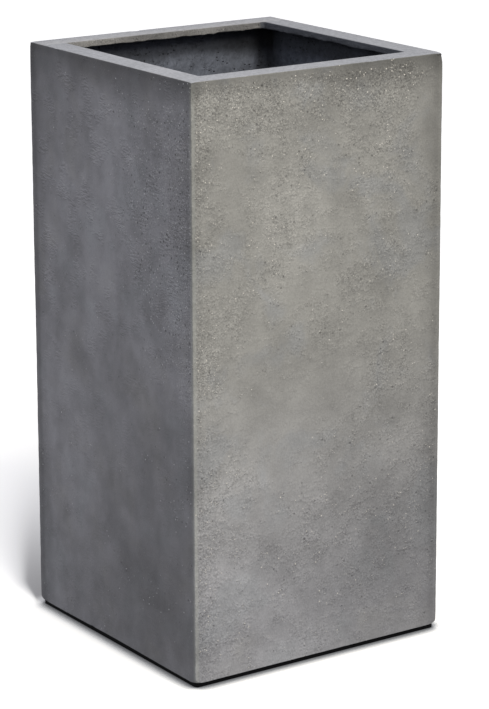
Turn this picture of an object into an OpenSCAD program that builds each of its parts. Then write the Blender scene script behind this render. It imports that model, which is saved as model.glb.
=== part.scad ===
// Tall square planter: a thin fibre-cement shell with a flat turned-in rim, standing on a black base pan
// that is bonded into its foot. A rubber bung closes the drain hole in the pan's floor.
// The origin is on the ground, in the middle of the square, and +Z is up.

/* [Shell] */
// Outer width of the square shell, face to face
shell_w = 400; // [300:5:600]
// Height of the shell, from its foot to the top of the rim
shell_h = 800; // [400:10:1200]
// Thickness of the four walls
wall_t = 10; // [9:0.5:14]
// Width of the rim on each side, from the outer face to the mouth
rim_w = 36; // [32:1:60]
// Thickness of the rim
rim_t = 10; // [8:0.5:14]

/* [Shell edges] */
// Radius of the four upright outer edges
upright_edge_r = 2; // [1:0.5:4]
// Radius of the outer edge round the top
top_edge_r = 1.5; // [1:0.5:3]
// Radius of the softened outer edge round the foot
foot_edge_r = 3; // [2:0.5:5]
// Radius that softens the four bottom corners, seen along the diagonal
foot_corner_r = 7; // [6:1:20]
// Radius of the coved upright corners inside
inner_corner_r = 14; // [10:1:24]
// Radius of the cove where the walls turn into the rim
rim_cove_r = 12; // [6:1:16]
// Corner radius of the mouth, seen from above
mouth_corner_r = 3; // [2:0.5:12]
// Radius of the rim's inner edges, above and below
mouth_edge_r = 1.5; // [1:0.5:3]

/* [Base pan] */
// Height that the plinth lifts the shell off the ground
plinth_h = 6; // [4.5:0.5:12]
// Distance that the plinth stands back from the shell's outer faces
plinth_inset = 3; // [2:0.5:6]
// Corner radius of the plinth
plinth_corner_r = 5; // [4:1:16]
// Width of the foot ring that touches the ground
foot_ring_w = 30; // [20:1:60]
// Corner radius of the hollow inside the foot ring
hollow_corner_r = 4; // [2:1:12]
// Thickness of the pan's floor
floor_t = 7; // [5:0.5:12]
// Height of the pan's upstand above the plinth
upstand_h = 45; // [35:1:90]
// Thickness of the pan's upstand
upstand_t = 5; // [3:0.5:6]
// Radius of the cove between the pan's floor and its upstand
pan_cove_r = 8; // [4:1:12]
// Gap between the upstand and the walls, filled with adhesive
bond_gap = 0.3; // [0.2:0.1:1]

/* [Seal bead] */
// Height that the sealant climbs up the wall above the upstand
bead_h = 8; // [6:0.5:14]
// Thickness of the sealant at its two thin edges
bead_toe = 0.8; // [0.5:0.1:1.5]

/* [Drain] */
// Diameter of the drain hole
drain_d = 26; // [20:1:40]
// Depth of the shallow seat round the drain hole
seat_depth = 2; // [1:0.5:3]
// Gap between the seat's wall and the bung's head
seat_gap = 2; // [1:0.5:4]

/* [Drain bung] */
// Radial gap between the drain hole and the bung's neck
neck_gap = 0.08; // [0.05:0.01:0.1]
// Narrowing of the shank from neck to tip, on the radius
shank_taper = 1.5; // [0.5:0.5:3]
// Wall thickness of the hollow shank
shank_wall = 4; // [3:0.5:6]
// Height of the bung's tip above the ground
tip_gap = 2; // [1:0.5:3]
// Width of the bung's head beyond the drain hole on each side
head_overhang = 8; // [6:1:14]
// Thickness of the bung's head
head_t = 4; // [3:0.5:6]
// Diameter of the grip knob on the head
knob_d = 15; // [12:1:18]
// Thickness of the grip knob
knob_t = 5; // [4:0.5:8]
// Diameter of the waist under the knob, where fingers grip
waist_d = 9; // [6:1:10]
// Height of the waist under the knob
waist_h = 5; // [4:0.5:10]
// Radius of the bung's rounded edges
bung_edge_r = 1.4; // [0.5:0.1:1.5]

/* [Hidden] */
$fn = 96;

// Cutters run this far past the faces that they open
past = 1;

total_h = plinth_h + shell_h;
rim_under_z = total_h - rim_t;
mouth_w = shell_w - 2 * rim_w;
cavity_w = shell_w - 2 * wall_t;

plinth_w = shell_w - 2 * plinth_inset;
hollow_w = plinth_w - 2 * foot_ring_w;
upstand_w = cavity_w - 2 * bond_gap;
upstand_corner_r = inner_corner_r - bond_gap;
upstand_z = plinth_h + upstand_h;
pan_w = upstand_w - 2 * upstand_t;
pan_corner_r = upstand_corner_r - upstand_t;
floor_z = plinth_h + floor_t;

bead_w = bond_gap + upstand_t;

drain_r = drain_d / 2;
seat_z = floor_z - seat_depth;
head_r = drain_r + head_overhang;
neck_r = drain_r - neck_gap;
tip_r = neck_r - shank_taper;
shank_l = seat_z - tip_gap;
head_z = seat_z + head_t;
knob_z = head_z + waist_h;

// A square with round corners, centred on the origin
module round_square(w, r) {
    square([w, w - 2 * r], center = true);
    square([w - 2 * r, w], center = true);
    for (x = [-1, 1], y = [-1, 1])
        translate([x * (w / 2 - r), y * (w / 2 - r)])
            circle(r);
}

// A rectangle standing between heights z0 and z1, with one radius at its low corners and one at its high ones
module upright_profile(w, z0, z1, low_r, high_r) {
    widest = max(low_r, high_r);
    translate([-w / 2 + widest, z0])
        square([w - 2 * widest, z1 - z0]);
    translate([-w / 2, z0 + low_r])
        square([w, z1 - z0 - low_r - high_r]);
    for (side = [-1, 1]) {
        profile_corner(side, w, z0 + low_r, low_r, widest);
        profile_corner(side, w, z1 - high_r, high_r, widest);
    }
}

// One rounded corner of the profile, with the short flat that reaches the profile's middle part
module profile_corner(side, w, z, r, widest) {
    if (r > 0)
        translate([side * (w / 2 - r), z])
            circle(r);
    if (r > 0 && r < widest)
        translate([side * (w / 2 - (r + widest) / 2), z])
            square([widest - r, 2 * r], center = true);
}

// What a shape and the same shape turned a quarter have in common
module both_ways() {
    intersection() {
        children();
        rotate([0, 0, 90])
            children();
    }
}

// A square block with round uprights, and with its own edge radius round the bottom and round the top
module soft_block(w, z0, z1, upright_r, low_r, high_r) {
    intersection() {
        translate([0, 0, z0 - past])
            linear_extrude(z1 - z0 + 2 * past)
                round_square(w, upright_r);
        both_ways()
            rotate([90, 0, 0])
                linear_extrude(w + 2 * past, center = true)
                    upright_profile(w, z0, z1, low_r, high_r);
    }
}

// A block seen corner on, which rounds the bottom end of each upright edge along the diagonal
module diagonal_block(w, z0, z1, upright_r, low_r) {
    diagonal = sqrt(2) * (w - 2 * upright_r) + 2 * upright_r;
    rotate([0, 0, 45])
        both_ways()
            rotate([90, 0, 0])
                linear_extrude(diagonal + 2 * past, center = true)
                    upright_profile(diagonal, z0, z1, low_r, 0);
}

// Sweeps a section round a square with round corners. The section's X points outward from the square's side
module sweep_round(w, r, z) {
    straight = w - 2 * r;
    for (turn = [0:3])
        rotate([0, 0, 90 * turn]) {
            translate([w / 2, straight / 2, z])
                rotate([90, 0, 0])
                    linear_extrude(straight)
                        children();
            translate([straight / 2, straight / 2, z])
                rotate_extrude(angle = 90)
                    translate([r, 0])
                        children();
        }
}

// What rounding takes off an edge whose material lies at +X and -Y of the section's origin
module edge_cutter(r) {
    difference() {
        translate([-past, -r])
            square([past + r, r + past]);
        translate([r, -r])
            circle(r);
    }
}

// The sealant's section, with its back on the wall at X = 0 and its foot on the upstand at Y = 0
module bead_section() {
    low = [-bead_w, bead_toe];
    high = [-bead_toe, bead_h];
    front = high - low;
    tool_r = norm(front);
    tool_centre = (low + high) / 2 + [-front.y, front.x] * sqrt(3) / 2;
    difference() {
        polygon([[0, 0], [-bead_w, 0], low, high, [0, bead_h]]);
        translate(tool_centre)
            circle(tool_r);
    }
}

// A disc between heights z0 and z1 with its upper edge rounded
module soft_disc(r, z0, z1) {
    rotate_extrude() {
        translate([0, z0])
            square([r - bung_edge_r, z1 - z0]);
        translate([0, z0])
            square([r, z1 - z0 - bung_edge_r]);
        translate([r - bung_edge_r, z1 - bung_edge_r])
            circle(bung_edge_r);
    }
}

module shell() {
    color("#8f8e88")
        difference() {
            intersection() {
                soft_block(shell_w, plinth_h, total_h, upright_edge_r, foot_edge_r, top_edge_r);
                diagonal_block(shell_w, plinth_h, total_h + past, upright_edge_r, foot_corner_r);
            }
            soft_block(cavity_w, plinth_h - past, rim_under_z, inner_corner_r, 0, rim_cove_r);
            translate([0, 0, rim_under_z - past])
                linear_extrude(rim_t + 2 * past)
                    round_square(mouth_w, mouth_corner_r);
            sweep_round(mouth_w, mouth_corner_r, total_h)
                edge_cutter(mouth_edge_r);
            sweep_round(mouth_w, mouth_corner_r, rim_under_z)
                mirror([0, 1])
                    edge_cutter(mouth_edge_r);
        }
}

module base_pan() {
    color("#1b1b1d")
        difference() {
            union() {
                linear_extrude(plinth_h)
                    round_square(plinth_w, plinth_corner_r);
                linear_extrude(upstand_z)
                    round_square(upstand_w, upstand_corner_r);
            }
            soft_block(pan_w, floor_z, upstand_z + past, pan_corner_r, pan_cove_r, 0);
            translate([0, 0, -past])
                linear_extrude(plinth_h + past)
                    round_square(hollow_w, hollow_corner_r);
            cylinder(h = floor_z + past, r = drain_r);
            translate([0, 0, seat_z])
                cylinder(h = seat_depth + past, r = head_r + seat_gap);
        }
}

module seal_bead() {
    color("#141414")
        sweep_round(cavity_w, inner_corner_r, upstand_z)
            bead_section();
}

module drain_bung() {
    color("#2a2826")
        difference() {
            union() {
                translate([0, 0, tip_gap])
                    cylinder(h = shank_l, r1 = tip_r, r2 = neck_r);
                soft_disc(head_r, seat_z, head_z);
                translate([0, 0, head_z - bung_edge_r])
                    cylinder(h = waist_h + 2 * bung_edge_r, r = waist_d / 2);
                soft_disc(knob_d / 2, knob_z, knob_z + knob_t);
            }
            translate([0, 0, tip_gap - past])
                cylinder(h = shank_l + past - shank_wall / 2, r = tip_r - shank_wall);
        }
}

shell();
base_pan();
seal_bead();
drain_bung();
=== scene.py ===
"""Looks of the tall square cement planter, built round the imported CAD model.

The shell and the sealant are rebuilt as finer meshes with the real thing's wear, pits and wavy
edges. The base pan and the drain bung keep their CAD shapes. Everything is in metres, in the
CAD's frame. The photograph shows two faces: the bright one, -Y, and the dark one, -X.
"""
import math
from functools import reduce

import bpy
import numpy as np
from mathutils import Matrix, Vector, noise


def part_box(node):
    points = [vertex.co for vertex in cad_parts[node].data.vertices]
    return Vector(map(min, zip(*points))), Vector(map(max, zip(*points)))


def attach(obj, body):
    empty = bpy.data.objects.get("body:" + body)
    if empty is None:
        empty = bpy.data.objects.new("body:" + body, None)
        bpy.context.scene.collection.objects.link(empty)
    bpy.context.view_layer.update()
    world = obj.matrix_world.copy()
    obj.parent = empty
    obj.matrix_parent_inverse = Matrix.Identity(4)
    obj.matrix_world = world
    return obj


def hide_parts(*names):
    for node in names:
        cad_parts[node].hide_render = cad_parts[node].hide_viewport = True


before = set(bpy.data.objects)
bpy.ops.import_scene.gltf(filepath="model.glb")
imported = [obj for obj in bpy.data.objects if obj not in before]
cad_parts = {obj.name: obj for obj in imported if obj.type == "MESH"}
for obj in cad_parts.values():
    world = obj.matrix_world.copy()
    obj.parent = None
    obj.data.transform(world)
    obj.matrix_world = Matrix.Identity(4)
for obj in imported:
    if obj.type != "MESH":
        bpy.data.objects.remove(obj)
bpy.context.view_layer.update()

# Sizes of the shell, as in the CAD
SHELL_LOW, SHELL_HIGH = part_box("shell")
HALF = SHELL_HIGH.x  # outer half width
FOOT_Z = SHELL_LOW.z
TOP_Z = SHELL_HIGH.z
WALL = 0.010
RIM_WIDTH = 0.036
RIM_THICK = 0.010
CAVITY = HALF - WALL  # half width of the space inside
MOUTH = HALF - RIM_WIDTH  # half width of the mouth
UNDER_Z = TOP_Z - RIM_THICK  # the rim's underside
COVE_R = 0.012
FOOT_CORNER_R = 0.007  # along the diagonal
MOUTH_CORNER_R = 0.003
CAVITY_CORNER_R = 0.014
# Edges that are sharper than in the CAD
UPRIGHT_R = 0.0015
TOP_EDGE_R = 0.0009
FOOT_EDGE_R = 0.0008
MOUTH_EDGE_R = 0.0008
# Corners seen from above: of the rim's flat top, and of the cove where it meets the wall
RIM_CORNER_R = 0.0012
COVE_CORNER_R = 0.0133

# Steps of the shell's grid on the outer faces, across the rim and down the inside
OUTER_STEP = 0.0062
RIM_STEP = 0.0055
INNER_STEP = 0.0105
# Distances from an edge of the closer rows and columns beside it
EDGE_STEPS = (0.0, 0.0006, 0.0016, 0.0030, 0.0052)
RIM_EDGE_STEPS = (0.0, 0.0006, 0.0022)
COLUMN_EDGE_STEPS = (0.0, 0.0006, 0.0022, 0.0052)
INNER_FOOT_STEP = 0.0015
CORNER_STEPS = 6
# The pan and the sealant cover the inside below this height, where a few rows are enough
COVERED_Z = 0.0655
COVERED_ROWS = (0.057, 0.045, 0.025)
SLACK = 0.001  # tolerance for telling faces apart by their place

SEED = 20260
SIDES = ((0, -1), (1, 0), (0, 1), (-1, 0))  # outward directions, anticlockwise from the bright face


def smoothstep(low, high, x):
    t = np.clip((np.asarray(x, float) - low) / (high - low), 0.0, 1.0)
    return t * t * (3.0 - 2.0 * t)


def bell(x, width):
    """1 at 0, falling softly to nearly 0 at two widths."""
    return np.exp(-((x / width) ** 2))


def perlin(points, scale, offset=0.0, octaves=1):
    """Smooth noise from about -1 to 1 at each point, for an array of points of any shape."""
    flat = points.reshape(-1, 3) * scale + offset
    if octaves == 1:
        found = [noise.noise(Vector(p)) for p in flat]
    else:
        found = [noise.fractal(Vector(p), 0.9, 2.1, octaves) for p in flat]
    return np.array(found).reshape(points.shape[:-1])


# Grids round the square
def graded(start, stop, step, closer=EDGE_STEPS):
    """Places from start to stop, step apart, and closer together towards both ends."""
    length = abs(stop - start)
    count = max(2, round((length - 2 * closer[-1]) / step) + 1)
    middle = np.linspace(closer[-1], length - closer[-1], count)
    places = np.concatenate((closer[:-1], middle, length - np.array(closer[:-1])[::-1]))
    return start + math.copysign(1.0, stop - start) * places


def ring_columns(straight):
    """Columns round the square: side, share of its straight part from -1 to 1, and angle round
    the corner after it."""
    turns = np.linspace(0, 90, CORNER_STEPS + 1)[1:-1]
    columns = []
    for side in range(4):
        columns += [(side, share, 0.0) for share in straight]
        columns += [(side, 1.0, turn) for turn in turns]
    return columns


def ring_grid(rows, columns):
    """Places of a grid, rows by columns by 3. A row starts with its distance from the middle,
    its height and the radius of its corners."""
    place = np.zeros((len(rows), len(columns), 3))
    half, height, radius = rows[:, 0], rows[:, 1], rows[:, 2]
    for c, (side, share, turn) in enumerate(columns):
        nx, ny = SIDES[side]
        tx, ty = SIDES[(side + 1) % 4]
        a = math.radians(turn)
        out = half - radius + radius * math.cos(a)
        side_way = (half - radius) * share + radius * math.sin(a)
        place[:, c, 0] = nx * out + tx * side_way
        place[:, c, 1] = ny * out + ty * side_way
        place[:, c, 2] = height
    return place


def ring_quads(n_rows, n_columns):
    """Point numbers of the faces of a grid that closes both ways."""
    index = np.arange(n_rows * n_columns).reshape(n_rows, n_columns)
    beside = np.roll(index, -1, 1)
    return np.stack((index, beside, np.roll(beside, -1, 0), np.roll(index, -1, 0)), 2)


def outward(place):
    """Unit normals of a grid that closes both ways."""
    down_up = np.roll(place, -1, 0) - np.roll(place, 1, 0)
    round_it = np.roll(place, -1, 1) - np.roll(place, 1, 1)
    normal = np.cross(round_it, down_up)
    return normal / np.maximum(np.linalg.norm(normal, axis=2, keepdims=True), 1e-12)


def make_mesh(name, place, faces):
    """A smooth object from an array of points and a list of arrays of faces."""
    mesh = bpy.data.meshes.new(name)
    mesh.vertices.add(len(place))
    mesh.vertices.foreach_set("co", np.asarray(place, np.float32).ravel())
    flat = np.concatenate([np.asarray(f, np.int32).ravel() for f in faces])
    count = np.concatenate([np.full(len(f), f.shape[1], np.int32) for f in faces])
    mesh.loops.add(len(flat))
    mesh.loops.foreach_set("vertex_index", flat)
    mesh.polygons.add(len(count))
    starts = np.concatenate(([0], np.cumsum(count)[:-1])).astype(np.int32)
    mesh.polygons.foreach_set("loop_start", starts)
    mesh.polygons.foreach_set("loop_total", count)
    mesh.update(calc_edges=True)
    mesh.validate()
    mesh.shade_smooth()
    piece = bpy.data.objects.new(name, mesh)
    bpy.context.scene.collection.objects.link(piece)
    return piece


# The shell's mesh
def arc(centre_n, centre_z, radius, from_deg, to_deg, steps):
    """Points of a section's arc, without its first point."""
    angles = np.radians(np.linspace(from_deg, to_deg, steps + 1))[1:]
    return [(centre_n + radius * math.cos(a), centre_z + radius * math.sin(a)) for a in angles]


def shell_section():
    """The shell's closed section from its bottom, up outside, over the rim and down inside.
    Each row: distance from the middle plane, height, corner radius seen from above, share of
    rim, share of inside."""
    rows = []
    mouth_r = MOUTH_CORNER_R + MOUTH_EDGE_R

    def add(points, radius, rim=0.0, inside=0.0):
        for n, z in points:
            r = radius(n, z) if callable(radius) else radius
            rows.append((n, z, r, rim, inside))

    def outer_radius(n, z):
        left = max(0.0, FOOT_CORNER_R - (z - FOOT_Z))
        cut = FOOT_CORNER_R - math.sqrt(FOOT_CORNER_R**2 - left**2)
        return UPRIGHT_R + cut / (math.sqrt(2) - 1)

    def rim_radius(n, z):
        share = (HALF - TOP_EDGE_R - n) / (RIM_WIDTH - TOP_EDGE_R - MOUTH_EDGE_R)
        return RIM_CORNER_R + (mouth_r - RIM_CORNER_R) * share

    def cove_radius(n, z):
        return mouth_r + (COVE_CORNER_R - mouth_r) * float(smoothstep(MOUTH, CAVITY, n))

    # the bottom, the outer face and its top edge
    add([(CAVITY + INNER_FOOT_STEP, FOOT_Z)], CAVITY_CORNER_R + 0.0005)
    add([(HALF - FOOT_EDGE_R, FOOT_Z)], outer_radius)
    low = FOOT_Z + FOOT_EDGE_R
    add(arc(HALF - FOOT_EDGE_R, low, FOOT_EDGE_R, -90, 0, 5), outer_radius)
    add([(HALF, z) for z in graded(low, TOP_Z - TOP_EDGE_R, OUTER_STEP)[1:]], outer_radius)
    edge = arc(HALF - TOP_EDGE_R, TOP_Z - TOP_EDGE_R, TOP_EDGE_R, 0, 90, 4)
    add(edge[:3], UPRIGHT_R)
    # the rim and the lip
    add([(HALF - TOP_EDGE_R, TOP_Z)], rim_radius, rim=0.5)
    across = graded(HALF - TOP_EDGE_R, MOUTH + MOUTH_EDGE_R, RIM_STEP, RIM_EDGE_STEPS)
    add([(n, TOP_Z) for n in across[1:]], rim_radius, rim=1.0)
    turned = arc(MOUTH + MOUTH_EDGE_R, TOP_Z - MOUTH_EDGE_R, MOUTH_EDGE_R, 90, 180, 3)
    add(turned[:2], MOUTH_CORNER_R, rim=0.5)
    add(turned[2:], MOUTH_CORNER_R)
    low = UNDER_Z + MOUTH_EDGE_R
    add([(MOUTH, z) for z in np.linspace(TOP_Z - MOUTH_EDGE_R, low, 5)[1:]], MOUTH_CORNER_R)
    under = arc(MOUTH + MOUTH_EDGE_R, low, MOUTH_EDGE_R, 180, 270, 3)
    add(under, MOUTH_CORNER_R, inside=0.6)
    # the rim's underside, the cove and the inside
    across = np.linspace(MOUTH + MOUTH_EDGE_R, CAVITY - COVE_R, 4)
    add([(n, UNDER_Z) for n in across[1:]], cove_radius, inside=1.0)
    add(arc(CAVITY - COVE_R, UNDER_Z - COVE_R, COVE_R, 90, 0, 7), cove_radius, inside=1.0)
    heights = graded(UNDER_Z - COVE_R, COVERED_Z, INNER_STEP)[1:]
    heights = (*heights, *COVERED_ROWS, FOOT_Z + INNER_FOOT_STEP, FOOT_Z)
    add([(CAVITY, z) for z in heights], CAVITY_CORNER_R, inside=1.0)
    return np.array(rows)


# Waves that only ever move the surface one way: amount, scale, offset and octaves of each noise
FACE_WAVES = ((0.00022, 7.0, 3.7, 1), (0.00007, 31.0, 11.3, 2), (0.00005, 85.0, 29.3, 2))
RIM_WAVES = ((0.00010, 24.0, 17.7, 2),)
INSIDE_WAVES = ((0.00048, 38.0, 23.1, 3), (0.00024, 95.0, 5.9, 2))
# Wear of the upright edges, and the bow of the dark face's foot
WORN_REACH, WORN_DEPTH = 0.0035, 0.0004
BOW_RISE, BOW_LENGTH, BOW_HEIGHT = 0.0014, 0.09, 0.015
# The lip's torn lower edge: coarse and fine tears, and how much higher it ends on average
COARSE_TEARS, FINE_TEARS, TEARS_RISE = 0.0011, 0.0006, 0.0009

# Chips: side, distance along it, height, size, depth. The first is the nick low on the near edge.
CHIPS = (
    (0, -0.199, 0.036, 0.0045, 0.0016),
    (0, -0.199, 0.529, 0.0024, 0.0010),
    (0, -0.199, 0.263, 0.0030, 0.0009),
    (3, -0.184, 0.010, 0.0036, 0.0011),
    (3, -0.060, 0.006, 0.0032, 0.0012),
    (0, 0.085, 0.804, 0.0040, 0.0009),
    (0, -0.118, 0.804, 0.0030, 0.0007),
    (0, 0.199, 0.805, 0.0055, 0.0024),
    (3, -0.199, 0.805, 0.0040, 0.0010),
    (0, -0.199, 0.805, 0.0040, 0.0010),
    (1, 0.199, 0.610, 0.0040, 0.0014),
    (1, -0.090, 0.006, 0.0045, 0.0016),
    (1, 0.199, 0.105, 0.0040, 0.0013),
    (2, 0.030, 0.804, 0.0045, 0.0010),
    (3, -0.130, 0.804, 0.0032, 0.0008),
)


def waves(place, layers):
    return sum(amount * (1 + perlin(place, *rest)) for amount, *rest in layers)


def weather(place, rows):
    """Moves the perfect grid to that of a hand-finished casting."""
    normal = outward(place)
    half, rim, inside = rows[:, :1], rows[:, 3:4], rows[:, 4:5]
    outer_wall = (half > CAVITY + SLACK) * (rim < 0.01)
    lip = (half < MOUTH + SLACK) * (rim < 0.3)
    inwards = waves(place, FACE_WAVES) * outer_wall + waves(place, RIM_WAVES) * (rim > 0.5)
    inwards = inwards - waves(place, INSIDE_WAVES) * (inside > 0.8)
    # worn upright edges, and chips
    from_edge = HALF - np.minimum(np.abs(place[..., 0]), np.abs(place[..., 1]))
    worn = np.clip(perlin(place, 60.0, 41.0, 2) + 0.2, 0, 1)
    inwards = inwards + smoothstep(WORN_REACH, 0.0, from_edge) * outer_wall * WORN_DEPTH * worn
    for side, along, height, size, depth in CHIPS:
        nx, ny = SIDES[side]
        tx, ty = SIDES[(side + 1) % 4]
        spot = np.array((nx * HALF + tx * along, ny * HALF + ty * along, height))
        gap = np.linalg.norm((place - spot) * (1, 1, 0.8), axis=2)
        inwards = inwards + depth * bell(gap, size) * (inside < 0.5)
    place = place - normal * inwards[..., None]
    # the foot of the dark face bows up a little in its middle
    bow_top = FOOT_Z + BOW_HEIGHT
    bow = BOW_RISE * bell(place[..., 1], BOW_LENGTH) * smoothstep(bow_top, FOOT_Z, place[..., 2])
    place[..., 2] += bow * (place[..., 0] < 2 * SLACK - HALF) * (place[..., 2] < bow_top)
    # the lip's lower edge was never finished: it is wavy and a little torn
    level = place * (1, 1, 0)
    torn = COARSE_TEARS * perlin(level, 46.0, 7.2, 3) + FINE_TEARS * perlin(level, 140.0, 1.3)
    hang = lip * smoothstep(TOP_Z - 0.004, UNDER_Z, place[..., 2])
    place[..., 2] -= hang * (torn - TEARS_RISE)
    return place + normal * (hang * torn * 0.5)[..., None]


def sandiness(place):
    """How loose and sandy the outer faces are, from 0 to 1: most along the top and round the
    near upright edge."""
    x, y, z = place[..., 0], place[..., 1], place[..., 2]
    below_top = TOP_Z - z
    from_near = np.hypot(x + HALF, y + HALF)
    from_edge = np.hypot(np.abs(x) - HALF, np.abs(y) - HALF)
    cloud = 0.26 * perlin(place, 12.0, 71.3, 2) + 0.14 * perlin(place, 34.0, 13.9)
    # the bright face is smooth on its top edge, in its far top corner and in a patch at mid height
    lit = 0.30 + 0.42 * smoothstep(0.120, 0.0, below_top) + 0.30 * smoothstep(0.060, 0.0, from_near)
    lit = lit * (0.25 + 0.75 * smoothstep(0.003, 0.014, below_top))
    lit = lit - 0.45 * smoothstep(0.145, 0.180, x) * smoothstep(0.200, 0.080, below_top)
    lit = lit - 0.30 * bell(np.hypot(x + 0.07, z - 0.35), 0.09)
    # the dark face is loose high up towards the near edge, and along that edge
    shady = smoothstep(0.26, 0.04, from_near) * smoothstep(0.36, 0.60, z)
    shady = 0.04 + 0.60 * shady * smoothstep(0.79, 0.74, z)
    at_edge = smoothstep(0.070, 0.010, from_edge)
    shady = shady + 0.40 * at_edge * smoothstep(0.30, 0.0, from_near) * smoothstep(0.0, 0.5, z)
    unseen = 0.22 + 0.32 * smoothstep(0.120, 0.010, below_top) + 0.22 * at_edge
    share = np.where(y < SLACK - HALF, lit, np.where(x < SLACK - HALF, shady, unseen)) + cloud
    lip = np.maximum(np.abs(x), np.abs(y)) < MOUTH + 2 * SLACK
    return np.where(lip, 0.4, np.clip(share, 0.0, 1.0))


# How likely a face is to hold a pit: outside, at least and more where it is sandy; inside; on top
OUTER_PITS, SANDY_PITS, INNER_PITS, TOP_PITS = 0.005, 0.11, 0.05, 0.010
SMOOTH_EDGE = (0.0050, 0.0068)  # an outer face has no pits nearer its edges than this
PIT_ROOM = 0.0030  # the narrowest face that can hold a pit
PIT_RINGS = ((1.0, 0.0), (0.62, 0.75))  # share of the pit's radius, and of its depth
SHEET_MARGIN = 0.002


def pit_chance(centre, rows, roomy):
    """How likely each face of the grid is to hold a pit."""
    x, y, z = np.abs(centre[..., 0]), np.abs(centre[..., 1]), centre[..., 2]
    edge = np.minimum(HALF - np.minimum(x, y), TOP_Z - z)
    outer = (rows[:, 0] > HALF - 0.0003)[:, None]
    inner = (rows[:, 4] > 0.99)[:, None] * (rows[:, 1] < UNDER_Z - 0.004)[:, None]
    top = (rows[:, 3] > 0.99)[:, None]
    chance = (OUTER_PITS + SANDY_PITS * sandiness(centre) ** 2) * smoothstep(*SMOOTH_EDGE, edge)
    return (outer * chance + inner * INNER_PITS + top * TOP_PITS) * roomy


def sheet_places(place):
    """Where each point of a grid that closes both ways lies on its unrolled sheet, from 0 to 1."""
    across = np.linalg.norm(np.roll(place, -1, 1) - place, axis=2).mean(0)
    along = np.linalg.norm(np.roll(place, -1, 0) - place, axis=2).mean(1)
    u = (np.cumsum(across) - across) / across.sum()
    v = (np.cumsum(along) - along) / along.sum()
    return np.stack(np.broadcast_arrays(u[None, :], v[:, None]), 2).reshape(-1, 2)


def past_seam(corners):
    """Corner places of faces on the sheet, where those beyond the sheet's seam go on past 1."""
    return corners + (corners < corners.max(1, keepdims=True) - 0.5)


def sink_pits(rng, first, quads, box, width, flat):
    """One pit in each of the given faces, whose point numbers are quads, places box, widths
    width, and places on the sheet flat. Gives the new points, which are numbered from first,
    their places on the sheet, and the faces that take the given ones' place."""
    count = len(quads)
    middle = box.mean(1)
    across, upward = box[:, 1] - box[:, 0], box[:, 3] - box[:, 0]
    normal = np.cross(across, upward)
    normal /= np.linalg.norm(normal, axis=1, keepdims=True)
    lengths = np.stack((np.linalg.norm(across, axis=1), np.linalg.norm(upward, axis=1)), 1)
    across /= lengths[:, :1]
    upward /= lengths[:, 1:]
    radius = width * (0.12 + 0.20 * rng.random(count) ** 3)
    depth = radius * (0.35 + 0.4 * rng.random(count))
    shift = (width[:, None] * 0.42 - radius[:, None]) * rng.uniform(-1, 1, (count, 2))
    spin = rng.uniform(-0.6, 0.6, count)
    stretch = rng.uniform(0.70, 1.30, (count, 4))
    points, flats = [], []

    def add_points(steps, sunk):
        """One new point in each pit, steps away from its face's middle and sunk below it."""
        offset = across * steps[:, :1] + upward * steps[:, 1:]
        points.append(middle + offset - normal * sunk[:, None])
        share = 0.5 + steps / lengths
        side_way, up_way = flat[:, 1] - flat[:, 0], flat[:, 3] - flat[:, 0]
        flats.append(flat[:, 0] + side_way * share[:, :1] + up_way * share[:, 1:])
        return first + (len(points) - 1) * count + np.arange(count)

    rings = [quads]
    for share, sunk in PIT_RINGS:
        ring = []
        for k in range(4):
            angle = spin + math.radians(-135 + 90 * k)
            reach = radius * share * stretch[:, k]
            steps = shift + np.stack((reach * np.cos(angle), reach * np.sin(angle)), 1)
            ring.append(add_points(steps, depth * sunk))
        rings.append(np.stack(ring, 1))
    bottom = add_points(shift, depth)
    faces = []
    for outer, inner in zip(rings, rings[1:]):
        for k in range(4):
            j = (k + 1) % 4
            faces.append(np.stack((outer[:, k], outer[:, j], inner[:, j], inner[:, k]), 1))
    last = rings[-1]
    faces += [np.stack((last[:, k], last[:, (k + 1) % 4], bottom), 1) for k in range(4)]
    return points, flats, faces


def make_shell():
    """The shell as one closed mesh, weathered and pitted."""
    rng = np.random.default_rng(SEED)
    rows = shell_section()
    closer = tuple(c / HALF for c in COLUMN_EDGE_STEPS)
    columns = ring_columns(graded(-1.0, 1.0, OUTER_STEP / HALF, closer))
    place = weather(ring_grid(rows, columns), rows)
    points, sheet = place.reshape(-1, 3), sheet_places(place)
    quads = ring_quads(*place.shape[:2])
    boxes = points[quads]  # rows, columns, 4, 3
    side_a = np.linalg.norm(boxes[:, :, 1] - boxes[:, :, 0], axis=2)
    side_b = np.linalg.norm(boxes[:, :, 3] - boxes[:, :, 0], axis=2)
    narrow = np.minimum(side_a, side_b)
    chance = pit_chance(boxes.mean(2), rows, narrow > PIT_ROOM)
    holds = rng.random(chance.shape) < chance
    holds[-1] = False
    pitted = quads[holds]
    pits = (pitted, boxes[holds], narrow[holds], past_seam(sheet[pitted]))
    new_points, new_flats, pit_faces = sink_pits(rng, len(points), *pits)
    faces = [quads[~holds], *pit_faces]
    piece = make_mesh("shell_cast", np.concatenate((points, *new_points)), faces)
    # its flat map, and what the cement's material reads at each point
    flats = np.concatenate((sheet, *new_flats))
    corners = np.concatenate([past_seam(flats[f]).reshape(-1, 2) for f in faces])
    corners = SHEET_MARGIN + (1 - 2 * SHEET_MARGIN) * corners
    layer = piece.data.uv_layers.new(name="OFBake")
    layer.data.foreach_set("uv", corners.astype(np.float32).ravel())
    full_rows = np.ones((1, len(columns)))
    shares = (("rim", rows[:, 3:4] * full_rows), ("inside", rows[:, 4:5] * full_rows))
    for name, share in (*shares, ("sandy", sandiness(place))):
        values = np.concatenate((share.ravel(), np.tile(share[holds], len(new_points))))
        layer = piece.data.attributes.new(name, "FLOAT", "POINT")
        layer.data.foreach_set("value", values.astype(np.float32))
    return piece


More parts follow.
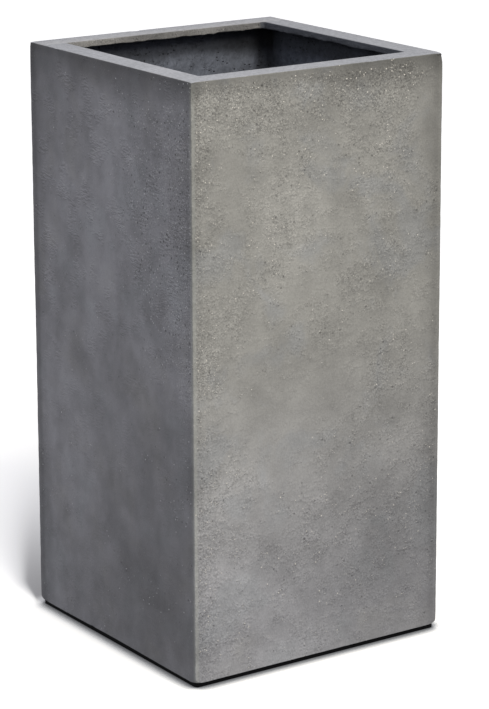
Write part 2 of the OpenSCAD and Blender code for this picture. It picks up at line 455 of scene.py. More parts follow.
# The sealant's mesh
BEAD_DEEP = 0.0053  # how far its foot stands out from the wall
BEAD_TOE = 0.0008  # its thickness at its two thin edges
BEAD_BACK = 0.0001  # gap behind it
BEAD_HOLLOW = 0.13  # hollow of its face, as a share of the face's width
BEAD_SWELL, BEAD_RIPPLE = 0.00025, 0.00055  # how far its face stands out, and its waves
BEAD_FACE_STEPS = 7
BEAD_SIDE_COLUMNS = 60


def make_bead():
    """The ring of sealant in the corner above the pan's upstand, with a hollow, wavy face."""
    low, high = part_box("seal_bead")
    tall = high.z - low.z
    run, rise = BEAD_DEEP - BEAD_TOE, tall - BEAD_TOE
    section = []
    for t in np.linspace(0, 1, BEAD_FACE_STEPS + 1):
        hollow = BEAD_HOLLOW * math.sin(math.pi * t)
        section.append((BEAD_DEEP - run * t - hollow * rise, BEAD_TOE + rise * t - hollow * run))
    section += [(BEAD_BACK, tall), (BEAD_BACK, 0.0), (BEAD_DEEP, 0.0)]
    rows = np.array([(CAVITY - n, low.z + z, CAVITY_CORNER_R - n) for n, z in section])
    place = ring_grid(rows, ring_columns(np.linspace(-1, 1, BEAD_SIDE_COLUMNS)))
    level = place * (1, 1, 0)
    ripple = perlin(level, 60.0, 9.1, 2) * 0.5 + perlin(level, 220.0, 2.2) * 0.25
    face = np.zeros((len(section), 1))
    face[1:BEAD_FACE_STEPS + 1, 0] = np.sin(np.linspace(0.4, math.pi - 0.3, BEAD_FACE_STEPS))
    inwards = face * (BEAD_SWELL + BEAD_RIPPLE * np.clip(ripple, -1, 1))
    place = place - outward(place) * inwards[..., None]
    quads = ring_quads(*place.shape[:2])
    return make_mesh("sealant_bead", place.reshape(-1, 3), [quads.reshape(-1, 4)])


# Materials

# Colours and tints of the cement: faces, the strip along the near edge, sand, lip with painted
# light and painted shade, rim with a painted highlight, inside with a painted shade colour
COOL_GREY, WARM_GREY = (0.2670, 0.2655, 0.2650), (0.2890, 0.2840, 0.2550)
GREEN_GREY, STRIP_GREY = (0.262, 0.270, 0.268), (0.270, 0.275, 0.248)
DARK_FACE_SAND, BRIGHT_FACE_SAND = (0.56, 0.56, 0.54), (0.66, 0.63, 0.55)
LIT_LIP_PAINTED_LIGHT, SHADED_LIP = (1.08, 1.055, 0.995), (0.066, 0.071, 0.081)
RIM_GREYS, BACK_RIM_HIGHLIGHT = ((0.262, 0.270, 0.284), (0.272, 0.277, 0.286)), (1.24, 1.22, 1.18)
INSIDE_GREYS, SHADED_WALL = ((0.113, 0.124, 0.150), (0.145, 0.157, 0.185)), (0.222, 0.247, 0.290)
# Colours of the other pieces
OUTER_RESIN, INNER_RESIN = (0.0036, 0.0036, 0.0042), (0.024, 0.024, 0.027)
GLASS_STRANDS = (0.085, 0.085, 0.090)
STRAND_TURNS = ((0.5, 0.6, 0.30), (-0.7, 0.4, 1.15), (0.3, -0.8, 2.00), (0.9, 0.2, 2.75))
STRAND_STRETCH = (1.0, 8.3, 8.3)
SEALANT_BLACK = (0.011, 0.011, 0.012)
RUBBER_GREYS, RUBBER_DUST = ((0.030, 0.028, 0.026), (0.052, 0.049, 0.045)), (0.12, 0.115, 0.105)


class Nodes:
    """The node tree of a material or world, with short ways to add nodes."""

    def __init__(self, owner):
        owner.use_nodes = True
        self.tree = owner.node_tree
        self.tree.nodes.clear()

    def add(self, kind, inputs=None, **settings):
        """Adds a node. inputs gives its sockets, by name or number, their values or links."""
        node = self.tree.nodes.new(kind)
        for key, value in settings.items():
            setattr(node, key, value)
        for key, value in (inputs or {}).items():
            if isinstance(value, bpy.types.NodeSocket):
                self.tree.links.new(value, node.inputs[key])
            else:
                node.inputs[key].default_value = value
        return node

    def math(self, operation, a, b=0.0):
        return self.add("ShaderNodeMath", {0: a, 1: b}, operation=operation).outputs[0]

    def add_up(self, *values):
        return reduce(lambda a, b: self.math("ADD", a, b), values)

    def times(self, *values):
        return reduce(lambda a, b: self.math("MULTIPLY", a, b), values)

    def largest(self, *values):
        return reduce(lambda a, b: self.math("MAXIMUM", a, b), values)


class Paint(Nodes):
    """One material's nodes. place is where a point lies on the object."""

    def __init__(self, name):
        self.material = bpy.data.materials.new(name)
        super().__init__(self.material)
        self.place = self.add("ShaderNodeTexCoord").outputs["Object"]

    def split_place(self):
        return self.add("ShaderNodeSeparateXYZ", {0: self.place}).outputs

    def weighed(self, *products):
        """The sum of some products."""
        return self.add_up(*(self.times(*values) for values in products))

    def opposite(self, mask):
        """1 where mask is 0, and 0 where it is 1."""
        return self.math("SUBTRACT", 1.0, mask)

    def less(self, share, mask):
        """1 where mask is 0, and less by share where it is 1."""
        return self.opposite(self.times(mask, share))

    def more(self, share, mask):
        """1 where mask is 0, and more by share where it is 1."""
        return self.add_up(1.0, self.times(mask, share))

    def step(self, value, low, high, to_low=0.0, to_high=1.0):
        """Smooth step of value from low to high."""
        inputs = {"From Min": low, "From Max": high, "To Min": to_low, "To Max": to_high}
        inputs["Value"] = value
        return self.add("ShaderNodeMapRange", inputs, interpolation_type="SMOOTHSTEP").outputs[0]

    def swing(self, noisy, spread, amount):
        """From -amount to amount, as a noise goes from spread below its middle to spread above."""
        return self.step(noisy, 0.5 - spread, 0.5 + spread, -amount, amount)

    def stretched(self, scale, turn=(0, 0, 0), shift=(0, 0, 0), kind="POINT"):
        """Places for a texture, shrunk by scale and then turned. Kind TEXTURE stretches the
        texture by scale instead, along turned axes."""
        inputs = {"Vector": self.place, "Location": shift, "Rotation": turn, "Scale": scale}
        return self.add("ShaderNodeMapping", inputs, vector_type=kind).outputs[0]

    def noise(self, scale, detail=2.0, roughness=0.5, distortion=0.0, vector=None, shift=0.0):
        if vector is None and shift:
            vector = self.stretched((1, 1, 1), shift=(shift, shift * 0.7, shift * 1.3))
        inputs = {"Vector": vector or self.place, "Scale": scale, "Detail": detail}
        inputs |= {"Roughness": roughness, "Distortion": distortion}
        return self.add("ShaderNodeTexNoise", inputs).outputs[0]

    def scatter(self, scale, reach, rare, more=0.0, vector=None):
        """Round marks, scale cells to a metre. reach gives the distances from a cell's middle, in
        cells, where a mark ends and where it is full. A cell has a mark where its own random
        number plus more is past rare. Also gives another random number of the cell."""
        cell = self.add("ShaderNodeTexVoronoi", {"Vector": vector or self.place, "Scale": scale})
        picks = self.add("ShaderNodeSeparateColor", {0: cell.outputs["Color"]}).outputs
        mark = self.step(cell.outputs["Distance"], *reach)
        return self.times(mark, self.step(self.add_up(picks[0], more), *rare)), picks[1]

    def spot(self, centre, reach, ragged=0.0):
        """1 at a place on the object, falling to 0 at reach from it."""
        gap = self.add("ShaderNodeVectorMath", {0: self.place, 1: centre}, operation="DISTANCE")
        return self.step(self.add_up(gap.outputs["Value"], ragged), reach, 0.0)

    def attribute(self, name):
        return self.add("ShaderNodeAttribute", attribute_name=name).outputs["Fac"]

    def blend(self, share, a, b, mode="MIX"):
        """Colour a, with b over it by share."""
        a, b = ((*value, 1.0) if isinstance(value, tuple) else value for value in (a, b))
        inputs = {0: share, 6: a, 7: b}
        return self.add("ShaderNodeMix", inputs, data_type="RGBA", blend_type=mode).outputs[2]

    def mix(self, share, a, b):
        """Number a, going to b with share."""
        return self.add("ShaderNodeMix", {0: share, 2: a, 3: b}, data_type="FLOAT").outputs[0]

    def scale_colour(self, colour, factor):
        inputs = {0: colour, "Scale": factor}
        return self.add("ShaderNodeVectorMath", inputs, operation="SCALE").outputs[0]

    def bump(self, height, distance):
        return self.add("ShaderNodeBump", {"Distance": distance, "Height": height}).outputs[0]

    def show(self, shader):
        """Makes a shader the material's surface."""
        self.add("ShaderNodeOutputMaterial", {0: shader.outputs[0]})
        return self.material

    def finish(self, colour, roughness, normal, specular):
        inputs = {"Base Color": colour, "Roughness": roughness, "Normal": normal}
        inputs["Specular IOR Level"] = specular
        return self.show(self.add("ShaderNodeBsdfPrincipled", inputs))


# Soft stained spots on the bright face: x, height, reach, and how much darker (less than 0 is
# paler)
BRIGHT_STAINS_AND_SHADE = (
    # painted shade: darker towards the right and low, where the light falls off
    (0.090, 0.150, 0.230, 0.21),
    (0.020, 0.575, 0.055, 0.10),
    (0.070, 0.500, 0.070, 0.08),
    (-0.200, 0.795, 0.030, 0.22),
    (-0.075, 0.165, 0.055, 0.19),
    (0.030, 0.320, 0.100, 0.11),
    (-0.110, 0.330, 0.130, -0.12),
    (-0.150, 0.060, 0.550, -0.30),
    (-0.050, 0.600, 0.180, -0.14),
    (0.025, 0.755, 0.065, 0.21),
    (0.150, 0.740, 0.070, 0.12),
    (0.060, 0.095, 0.050, 0.10),
    (-0.020, 0.410, 0.130, 0.13),
    (-0.025, 0.758, 0.045, 0.11),
    (0.080, 0.750, 0.040, 0.12),
    (0.055, 0.606, 0.100, -0.10),
    (-0.025, 0.515, 0.065, 0.10),
    (0.155, 0.416, 0.055, 0.10),
    (-0.080, 0.310, 0.070, 0.09),
    (-0.120, 0.226, 0.065, 0.09),
    (0.105, 0.226, 0.065, 0.10),
)
# The same on the dark face, with y for x
DARK_STAINS = (
    (0.160, 0.740, 0.110, 0.24),
    (-0.120, 0.180, 0.330, 0.26),
    (0.020, 0.610, 0.240, -0.12),
    (0.080, 0.380, 0.035, 0.14),
    (-0.060, 0.030, 0.170, 0.20),
    (0.095, 0.070, 0.090, 0.16),
    (0.120, 0.676, 0.060, 0.13),
)


class Cement(Paint):
    """The cement's nodes, with the noises and masks that its parts share."""

    def __init__(self):
        super().__init__("fibre_cement")
        self.x, self.y, self.z = self.split_place()
        self.size_x, self.size_y = (self.math("ABSOLUTE", v) for v in (self.x, self.y))
        self.grain = self.noise(520, roughness=0.6)
        self.mottle = self.noise(60, detail=3, roughness=0.6)
        self.drift = self.noise(16, detail=4, roughness=0.6, distortion=0.6, shift=5.3)
        self.ragged = self.math("SUBTRACT", self.noise(90), 0.5)
        self.wander = self.math("SUBTRACT", self.noise(9, shift=7.7), 0.5)
        # the bright face, and all the others
        self.bright = self.step(self.y, -0.1960, -0.1990)
        self.dark = self.opposite(self.bright)
        # ragged distances from the upright edges and from the top, and the near upright edge
        across = self.math("MINIMUM", self.size_x, self.size_y)
        self.depth = self.math("SUBTRACT", TOP_Z, self.z)
        self.upright = self.add_up(
            self.math("SUBTRACT", HALF, across), self.times(self.ragged, 0.0045)
        )
        self.below_top = self.add_up(self.depth, self.times(self.ragged, 0.003))
        squares = (self.math("POWER", self.add_up(v, HALF), 2.0) for v in (self.x, self.y))
        self.near = self.step(self.math("SQRT", self.add_up(*squares)), 0.16, 0.04)
        self.away = self.opposite(self.near)

    def by_face(self, bright, dark):
        """One value on the bright face and another on the others."""
        return self.mix(self.bright, dark, bright)

    def on_lip(self, towards, beside, end):
        """1 on the lip on one side of the mouth, and on the rim above it for a distance of end."""
        inner = self.step(towards, MOUTH - 0.010, MOUTH - 0.004)
        outer = self.step(towards, MOUTH + end + 0.006, MOUTH + end)
        return self.times(outer, inner, self.step(beside, MOUTH + 0.010, MOUTH + 0.002))


def face_colour(p):
    """Grey, warmer on the bright face above its foot, and warmer or greener in patches."""
    hue = p.noise(11.0, detail=4, roughness=0.6, distortion=0.5, shift=9.4)
    above_foot = p.times(p.bright, p.step(p.z, 0.05, 0.50))
    warm = p.largest(above_foot, p.step(hue, 0.50, 0.72, to_high=0.3))
    green = p.step(hue, 0.50, 0.36, to_high=0.45)
    return p.blend(green, p.blend(warm, COOL_GREY, WARM_GREY), GREEN_GREY)


def clouds(p):
    """Soft clouds of several sizes, stronger on the faces away from the light."""
    large = p.noise(5.5, detail=3, roughness=0.55, distortion=0.4, shift=2.1)
    tall = p.stretched((1, 1, 0.55))
    upward = p.noise(17, detail=3, roughness=0.55, distortion=0.3, vector=tall)
    small = p.noise(34, shift=6.6)
    calmer = p.by_face(bright=0.5, dark=1.0)
    return p.add_up(
        1.0,
        p.swing(large, spread=0.16, amount=0.08),
        p.swing(p.drift, spread=0.20, amount=0.07),
        p.times(p.swing(upward, spread=0.20, amount=0.10), calmer),
        p.swing(p.mottle, spread=0.25, amount=0.04),
        p.times(p.swing(small, spread=0.20, amount=0.075), calmer),
    )


def edge_bands(p):
    """Darker bands along the top and the upright edges, apart from the near one, a darker lip,
    and a paler foot on the bright face."""
    outmost = p.largest(p.size_x, p.size_y)
    on_face = p.step(outmost, MOUTH + 0.006, HALF - 0.006)
    right = p.step(p.x, -0.02, 0.09)
    reach = p.by_face(bright=p.mix(right, 0.034, 0.058), dark=0.072)
    strength = p.by_face(bright=p.mix(right, 0.34, 0.55), dark=0.50)
    top = p.step(p.add_up(p.below_top, p.times(p.wander, reach, 0.6)), reach, 0.004)
    top = p.times(p.math("POWER", top, 1.5), strength)
    side = p.step(p.add_up(p.upright, p.times(p.wander, 0.03)), 0.045, 0.006)
    top_line = p.times(p.step(p.below_top, 0.013, 0.004), p.dark, on_face)
    side_line = p.times(p.step(p.upright, 0.019, 0.009), p.away, p.dark)
    foot = p.times(p.step(p.z, FOOT_Z + 0.045, FOOT_Z + 0.010), p.bright)
    return p.times(
        p.less(on_face, top),
        p.less(p.by_face(bright=0.23, dark=0.26), p.times(side, p.away)),
        p.mix(on_face, 0.84, 1.0),
        p.less(0.16, top_line),
        p.less(0.17, side_line),
        p.more(0.04, foot),
    )


def stains_and_shade(p):
    """The shade of both faces' stained spots, of which the first bright one is painted shade."""
    spots = [((x, -HALF, z), *rest, p.bright) for x, z, *rest in BRIGHT_STAINS_AND_SHADE]
    spots += [((-HALF, y, z), *rest, p.dark) for y, z, *rest in DARK_STAINS]
    shades = []
    for centre, reach, darker, face in spots:
        spot = p.spot(centre, reach, p.times(p.wander, reach * 0.5))
        shades.append(p.less(darker, p.times(spot, face)))
    return p.times(*shades)


def looseness(p):
    """How loose the surface is: as sandy as the mesh says, in clusters, less on its edges."""
    groups = p.stretched((1, 1, 1.5), shift=(8.1, 5.7, 3.5))
    clusters = p.swing(p.noise(44, roughness=0.6, vector=groups), spread=0.2, amount=0.21)
    loose = p.step(p.add_up(p.attribute("sandy"), clusters), 0.0, 1.0)
    bare = p.step(p.upright, 0.0045, 0.0070)
    return p.times(loose, p.add_up(0.25, p.times(bare, 0.75)))


def flecks(p, loose):
    """Fine grain, half as strong on the photograph's dark face, -X."""
    grainy = p.largest(p.bright, p.step(p.x, -0.1990, -0.1960))
    amount = p.mix(grainy, p.mix(loose, 0.025, 0.14), p.mix(loose, 0.05, 0.28))
    fine = p.noise(430, detail=1, roughness=0.6, shift=3.3)
    return p.times(p.swing(fine, spread=0.2, amount=1.0), amount)


def wrinkles(p):
    """Short level wrinkles that the trowel left, with painted shade above and a painted highlight
    below each. Gives that painted shading, their height and where they are."""
    flat = (1, 1, 2.8)
    places = p.stretched(flat), p.stretched(flat, shift=(0, 0, 0.0034))
    torn, below = (p.noise(105, roughness=0.6, distortion=0.5, vector=v) for v in places)
    groups = p.step(p.noise(26, detail=3, roughness=0.6, shift=4.9), 0.50, 0.62)
    higher = p.step(p.z, 0.20, 0.62, 0.25, 1.0)
    where = p.times(groups, higher, p.by_face(bright=0.2, dark=1.0))
    # painted shade and highlight, from the slope of the wrinkles' height
    slope = p.math("SUBTRACT", below, torn)
    return p.times(p.step(slope, -0.22, 0.22, -0.32, 0.32), where), torn, where


def cement_outside(p):
    """Colour and relief of the outer faces: soft clouds, darker towards most edges, with pits and
    sand in groups."""
    near, loose = p.near, looseness(p)
    # the smooth strip along the near upright edge, and the thin dark line beside every one
    strip = p.times(p.step(p.upright, 0.0066, 0.0048), near)
    line = p.step(p.upright, 0.0050, 0.0078)
    line = p.times(line, p.step(p.upright, 0.0190, 0.0100))
    paler = p.more(p.step(p.ragged, -0.12, 0.12, -0.02, 0.07), strip)
    shade = p.times(clouds(p), edge_bands(p), stains_and_shade(p), paler, p.less(0.09, line))
    colour = p.blend(p.times(strip, 0.6), face_colour(p), STRIP_GREY)
    wrinkle_shading, torn, wrinkled = wrinkles(p)
    level = p.by_face(bright=0.945, dark=0.985)
    shade = p.times(shade, p.add_up(level, flecks(p, loose), wrinkle_shading))
    # pits, specks and sand, more of them where the surface is loose; the pits and specks are
    # sunk in the relief and painted darker, as painted shade in them
    more = p.times(loose, p.by_face(bright=p.mix(near, 0.14, 0.10), dark=0.09))
    pits, _ = p.scatter(240, (0.50, 0.22), (0.985, 1.03), more)
    more = p.times(loose, p.mix(near, 0.20, 0.13))
    specks, _ = p.scatter(400, (0.50, 0.20), (0.99, 1.03), more)
    higher = p.step(p.z, 0.06, 0.45, 0.88, 1.0)
    more = p.times(loose, p.mix(near, 0.31, 0.42), p.by_face(bright=higher, dark=0.80))
    sand, tone = p.scatter(330, (0.46, 0.20), (1.00, 1.04), more)
    pit_painted_shade = p.less(p.by_face(bright=0.34, dark=0.52), pits)
    speck_painted_shade = p.less(p.by_face(bright=0.24, dark=0.36), specks)
    colour = p.scale_colour(colour, p.times(shade, pit_painted_shade, speck_painted_shade))
    sand_colour = p.blend(p.bright, DARK_FACE_SAND, BRIGHT_FACE_SAND)
    paleness = p.times(sand, p.step(tone, 0, 1, 0.22, 1.0))
    colour = lip_colour(p, p.blend(paleness, colour, sand_colour))
    stretched = p.stretched((1.5, 1.5, 1.0))
    lumps = p.noise(300, roughness=0.6, distortion=0.3, vector=stretched)
    height = p.weighed(
        (lumps, p.add_up(0.15, loose), 3.6),
        (torn, wrinkled, 2.0),
        (p.mottle, 0.5),
        (sand, 0.7),
        (pits, -0.7),
        (specks, -0.35),
    )
    return colour, height


def lip_colour(p, colour):
    """The lip's face towards the light gets painted light, warmer, and duller towards the right.
    The one that looks away from the light gets dark painted shade."""
    # painted light on the lip's face towards the light
    lit = p.on_lip(p.y, p.size_x, end=0.004)
    colour = p.blend(lit, colour, LIT_LIP_PAINTED_LIGHT, "MULTIPLY")
    dull = p.weighed(
        (p.step(p.x, -0.085, -0.040), 0.24),
        (p.spot((-0.028, MOUTH, TOP_Z), 0.055), 0.12),
        (p.spot((0.130, MOUTH, TOP_Z), 0.080), 0.18),
    )
    colour = p.scale_colour(colour, p.less(lit, dull))
    # painted shade on the lip's face that looks away from the light
    shaded = p.on_lip(p.x, p.size_y, end=0.006)
    shaded = p.times(shaded, p.step(p.z, UNDER_Z - 0.004, UNDER_Z))
    return p.blend(shaded, colour, SHADED_LIP)


def cement_rim(p):
    """Colour and relief of the trowelled rim: finer than the faces, with painted light over the
    near corner, and a painted highlight at the back along the mouth."""
    coarse = p.noise(170, detail=3, roughness=0.7, shift=6.1)
    shade = p.add_up(
        1.0,
        p.swing(p.drift, spread=0.20, amount=0.05),
        p.swing(coarse, spread=0.25, amount=0.20),
        p.swing(p.mottle, spread=0.30, amount=0.06),
    )
    # painted light: paler over the near corner, falling off away from it
    shade = p.times(shade, p.more(0.15, p.spot((-HALF, -0.1, TOP_Z), 0.36)))
    # painted highlight on the back of the rim, brightest along the mouth's edge
    back = p.step(p.y, HALF + 0.010, MOUTH + 0.002)
    back = p.times(back, p.step(p.y, MOUTH - 0.004, MOUTH))
    colour = p.scale_colour(p.blend(p.mottle, *RIM_GREYS), shade)
    height = p.weighed((coarse, 0.9), (p.grain, 0.5), (p.mottle, 0.4))
    return p.blend(back, colour, BACK_RIM_HIGHLIGHT, "MULTIPLY"), height


def cement_inside(p):
    """Colour and relief of the unfinished inside: dark, blotchy and full of small holes and
    cracks."""
    turned = p.stretched((1.0, 1.0, 1.5), turn=(0.3, 0.2, 0.5))
    hole, _ = p.scatter(170, (0.40, 0.10), (1.22, 1.34), p.noise(30), turned)
    bent = p.noise(60, detail=3, roughness=0.6, distortion=2.5)
    cracks = p.times(
        p.step(bent, 0.505, 0.490),
        p.step(bent, 0.475, 0.490),
        p.step(p.noise(24, shift=4.4), 0.50, 0.62),
    )
    raw = p.noise(130, detail=4, roughness=0.65, distortion=0.6)
    blotches = (p.swing(p.drift, spread=0.20, amount=0.14), p.swing(raw, spread=0.25, amount=0.26))
    # the holes and cracks are painted darker, as painted shade in them
    shade = p.times(p.add_up(1.0, *blotches), p.less(0.7, hole), p.less(0.6, cracks))
    # painted shadow just under the rim, deepest and reaching lowest on the lit wall towards its
    # dark corner
    lit_wall = p.step(p.y, CAVITY - 0.020, CAVITY - 0.008)
    corner = p.times(p.step(p.x, -0.04, 0.17), lit_wall)
    deepest = p.times(corner, corner)
    dark_to = p.add_up(0.055, p.times(corner, -0.031), p.times(deepest, 0.0395))
    dark_from = p.add_up(0.031, p.times(corner, 0.003))
    rim_shadow = p.step(p.depth, dark_to, dark_from)
    darker = p.add_up(0.60, p.times(deepest, 0.29))
    # painted shade on the wall away from the light, beside its upright corner and in that corner's
    # cove
    shaded = p.step(p.x, CAVITY - 0.012, CAVITY - 0.004)
    beside = p.times(shaded, p.step(p.y, 0.150, 0.176))
    cove = p.times(p.step(p.x, 0.160, 0.174), p.step(p.y, 0.170, 0.184))
    painted_shades = (p.less(darker, rim_shadow), p.less(0.48, shaded), p.less(0.30, beside))
    shade = p.times(shade, *painted_shades, p.less(0.50, cove))
    # bluer colour of the painted shade on the wall away from the light
    colour = p.blend(shaded, p.blend(p.mottle, *INSIDE_GREYS), SHADED_WALL)
    height = p.weighed((raw, 1.2), (hole, -1.8), (cracks, -1.2), (p.grain, 0.3))
    return p.scale_colour(colour, shade), height


def cement():
    """Grey cement with sand in it, by the share of rim and of inside that the mesh carries."""
    p = Cement()
    rim, inside = p.attribute("rim"), p.attribute("inside")
    outer, top, inner = cement_outside(p), cement_rim(p), cement_inside(p)
    colour = p.blend(inside, p.blend(rim, outer[0], top[0]), inner[0])
    height = p.mix(inside, p.mix(rim, outer[1], top[1]), inner[1])
    roughness = p.step(p.add_up(p.mottle, p.times(p.grain, 0.4)), 0.4, 1.0, 0.74, 0.88)
    return p.finish(colour, roughness, p.bump(height, 0.0006), specular=0.30)


def laminate():
    """Black glass-fibre laminate: satin outside, with the strands of the mat showing inside."""
    p = Paint("black_laminate")
    _, _, z = p.split_place()
    inner = p.step(z, FOOT_Z + 0.0055, FOOT_Z + 0.0068)
    lines = []
    for turn in STRAND_TURNS:
        vector = p.stretched(STRAND_STRETCH, turn, shift=(turn[2],) * 3, kind="TEXTURE")
        lines.append(p.step(p.noise(420, distortion=0.5, vector=vector), 0.56, 0.70))
    strands = p.times(p.largest(*lines), inner)
    cloud, grain = p.noise(22, detail=3, roughness=0.6), p.noise(600)
    shade = p.add_up(0.8, p.step(cloud, 0.3, 0.7, -0.15, 0.25), p.times(grain, 0.3))
    resin = p.blend(inner, OUTER_RESIN, INNER_RESIN)
    colour = p.scale_colour(p.blend(strands, resin, GLASS_STRANDS), shade)
    height = p.weighed((strands, 0.8), (grain, 0.25), (cloud, 0.6))
    roughness = p.add_up(0.45, p.times(cloud, 0.18), p.times(strands, 0.12))
    return p.finish(colour, roughness, p.bump(height, 0.0004), specular=0.06)


def sealant():
    """Black sealant, smoothed with a wet finger."""
    p = Paint("black_sealant")
    wave, grain = p.noise(70, detail=3, roughness=0.55, distortion=0.4), p.noise(500)
    colour = p.scale_colour(SEALANT_BLACK, p.add_up(0.75, p.times(wave, 0.5), p.times(grain, 0.2)))
    roughness = p.add_up(0.30, p.times(wave, 0.22), p.times(grain, 0.06))
    height = p.add_up(wave, p.times(grain, 0.12))
    return p.finish(colour, roughness, p.bump(height, 0.0004), specular=0.5)


def rubber():
    """Dark moulded rubber with a dull bloom and fine mould texture."""
    p = Paint("dark_rubber")
    cloud, grain = p.noise(75, detail=4, roughness=0.6), p.noise(900, roughness=0.6)
    dust, _ = p.scatter(700, (0.35, 0.1), (0.93, 0.97))
    shade = p.add_up(0.75, p.times(cloud, 0.4), p.times(grain, 0.25))
    colour = p.scale_colour(p.blend(p.step(cloud, 0.4, 0.75), *RUBBER_GREYS), shade)
    colour = p.blend(p.times(dust, 0.7), colour, RUBBER_DUST)
    roughness = p.add_up(0.68, p.times(cloud, 0.18), p.times(grain, 0.06))
    height = p.add_up(grain, p.times(cloud, 0.8))
    return p.finish(colour, roughness, p.bump(height, 0.00018), specular=0.35)


# Stage, lamps and camera
FLOOR_HALF = 20.0
FLOOR_GLOW = 0.55
FLOOR_BOUNCE = (0.28, 0.28, 0.29, 1)
CONTACT_SHADE_TINT, FLOOR_TINT = (0.690, 0.730, 0.800), (0.770, 0.755, 0.690)
CONTACT_REACH, CONTACT_SAMPLES = 0.025, 8
WORLD_LEVEL, WORLD_COLOUR = 0.74, (0.857, 0.870, 1.0)
LAMP_AIM = Vector((0, 0, 0.45))

# The camera was fitted to the photograph's corners and outline. Its verticals are partly
# corrected by the shift. Degrees, pixels of the photograph, and widths of the shell.
PHOTO_HEIGHT = 709
CAMERA_YAW, CAMERA_PITCH, CAMERA_ROLL = 34.32, 13.28, -0.21
CAMERA_FOCAL, CAMERA_SHIFT = 2850.0, 100.0
CAMERA_PLACE = Vector((-5.307, -7.835, 3.519))  # from the middle of the shell's foot
CAMERA_SENSOR = 36.0


def floor_shadow(p):
    """Painted shadow behind the object on the left: how much the floor's glow dims there, from 0
    to 1, and how deep the shadow is."""
    x, y, _ = p.split_place()
    behind = p.math("SUBTRACT", y, HALF)
    far_back = p.largest(behind, 0.0)
    # its right edge slants away to the right, and is softer further back
    edge_bend = p.step(behind, 0.10, 0.0, 0.0, -0.017)
    past_edge = p.add_up(x, HALF + 0.024, p.times(behind, -0.52), edge_bend)
    soft = p.add_up(0.002, p.times(far_back, 0.11), p.times(far_back, far_back, 0.1))
    fade = p.add_up(p.step(y, 1.12, 0.92, 0.0, 0.22), p.step(y, 0.95, 0.18, 0.0, 0.78))
    across = p.step(past_edge, p.times(soft, -0.3), p.times(soft, 0.7), 0.72, 1.0)
    edge = p.step(past_edge, p.times(soft, -1.7), p.times(soft, 0.9))
    right_end = p.step(p.add_up(x, p.times(behind, -0.5)), 0.24, 0.12)
    dim = p.times(p.step(behind, -0.01, 0.03), edge, fade, across, right_end)
    return dim, p.times(dim, p.step(y, 0.62, 0.22))


def floor_paint():
    """White floor that shows the object's shadow, with a painted contact shadow round its foot and
    a painted shadow behind it, and sends less light back up than it shows.
    """
    p = Paint("studio_floor")
    reach = {"Distance": CONTACT_REACH}
    # painted contact shadow: darker and bluer where ambient occlusion finds the object close
    contact = p.add("ShaderNodeAmbientOcclusion", reach, samples=CONTACT_SAMPLES)
    close = p.step(contact.outputs["AO"], 0.50, 0.96, 0.16, 1.0)
    dim, deep = floor_shadow(p)
    tint = p.blend(close, CONTACT_SHADE_TINT, FLOOR_TINT)
    colour = p.scale_colour(tint, p.times(close, p.less(0.25, deep)))
    seen = p.add("ShaderNodeBsdfDiffuse", {"Color": colour})
    strength = p.times(close, FLOOR_GLOW, p.opposite(dim))
    glow = p.add("ShaderNodeEmission", {"Color": (1, 1, 1, 1), "Strength": strength})
    both = p.add("ShaderNodeAddShader", {0: seen.outputs[0], 1: glow.outputs[0]})
    bounce = p.add("ShaderNodeBsdfDiffuse", {"Color": FLOOR_BOUNCE})
    inputs = {0: direct_view(p), 1: bounce.outputs[0], 2: both.outputs[0]}
    return p.show(p.add("ShaderNodeMixShader", inputs))


def direct_view(p):
    """1 for the camera, and for what is seen in gloss or through glass."""
    path = p.add("ShaderNodeLightPath").outputs
    return p.largest(path["Is Camera Ray"], path["Is Glossy Ray"], path["Is Transmission Ray"])


def make_floor():
    mesh = bpy.data.meshes.new("studio_floor")
    corners = [(x * FLOOR_HALF, y * FLOOR_HALF, 0) for x, y in ((-1, -1), (1, -1), (1, 1), (-1, 1))]
    mesh.from_pydata(corners, [], [(0, 1, 2, 3)])
    floor = bpy.data.objects.new("studio_floor", mesh)
    bpy.context.scene.collection.objects.link(floor)
    mesh.materials.append(floor_paint())


def make_world():
    """A white background, and soft light of its own level and colour."""
    world = bpy.data.worlds.new("studio")
    bpy.context.scene.world = world
    p = Nodes(world)
    light, white = (
        p.add("ShaderNodeBackground", {"Color": (*colour, 1), "Strength": strength}).outputs[0]
        for colour, strength in ((WORLD_COLOUR, WORLD_LEVEL), ((1, 1, 1), 1.0))
    )
    mix = p.add("ShaderNodeMixShader", {0: direct_view(p), 1: light, 2: white})
    p.add("ShaderNodeOutputWorld", {0: mix.outputs[0]})


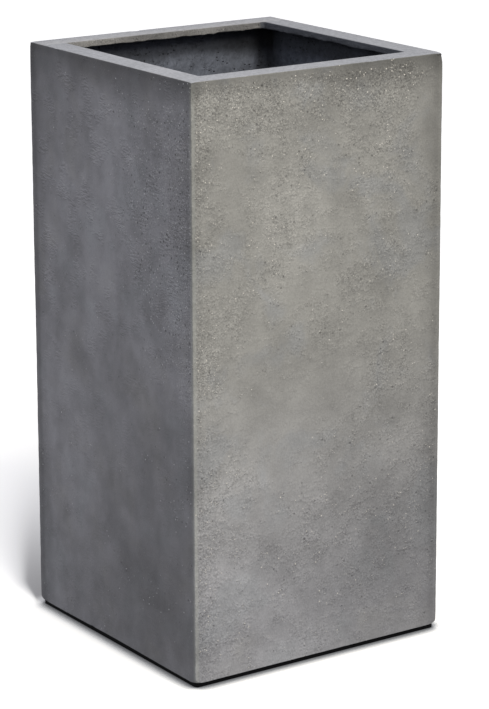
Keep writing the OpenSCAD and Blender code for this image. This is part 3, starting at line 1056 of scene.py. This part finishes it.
def softbox(name, towards, distance, size, level, colour):
    """A square lamp. level is the light on a surface that faces it, where 1 shows a colour as it
    is written."""
    lamp = bpy.data.lights.new(name, "AREA")
    lamp.shape, lamp.size, lamp.color = "SQUARE", size, colour
    lamp.energy = level * math.pi * math.pi * distance**2
    away = Vector(towards).normalized()
    box = bpy.data.objects.new(name, lamp)
    box.location = LAMP_AIM + away * distance
    box.rotation_mode = "QUATERNION"
    box.rotation_quaternion = away.to_track_quat("Z", "Y")
    bpy.context.scene.collection.objects.link(box)


def make_camera():
    yaw, pitch, roll = (math.radians(a) for a in (CAMERA_YAW, CAMERA_PITCH, CAMERA_ROLL))
    level = Vector((math.cos(yaw), -math.sin(yaw), 0))
    flat = math.cos(pitch)
    ahead = Vector((math.sin(yaw) * flat, math.cos(yaw) * flat, -math.sin(pitch)))
    above = level.cross(ahead)
    right = level * math.cos(roll) + above * math.sin(roll)
    up = above * math.cos(roll) - level * math.sin(roll)
    data = bpy.data.cameras.new("camera")
    data.sensor_width, data.lens = CAMERA_SENSOR, CAMERA_FOCAL * CAMERA_SENSOR / PHOTO_HEIGHT
    data.shift_y = -CAMERA_SHIFT / PHOTO_HEIGHT
    data.clip_end = 100
    camera = bpy.data.objects.new("camera", data)
    place = Matrix.Translation(CAMERA_PLACE * 2 * HALF + Vector((0, 0, FOOT_Z)))
    camera.matrix_world = place @ Matrix((right, up, -ahead)).transposed().to_4x4()
    bpy.context.scene.collection.objects.link(camera)
    bpy.context.scene.camera = camera


def dress(node, material):
    """Gives a CAD node's object a better material."""
    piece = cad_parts[node]
    piece.data.materials.clear()
    piece.data.materials.append(material)


make_camera()
make_floor()
make_world()
softbox("key", (0.0, -1.0, 1.08), distance=3.2, size=1.5, level=0.775, colour=(1.0, 0.955, 0.86))

shell = make_shell()
shell.data.materials.append(cement())
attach(shell, "planter")
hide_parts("shell")

bead = make_bead()
bead.data.materials.append(sealant())
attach(bead, "planter")
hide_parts("seal_bead")

dress("base_pan", laminate())
dress("drain_bung", rubber())

bpy.context.scene.view_settings.view_transform = "Standard"
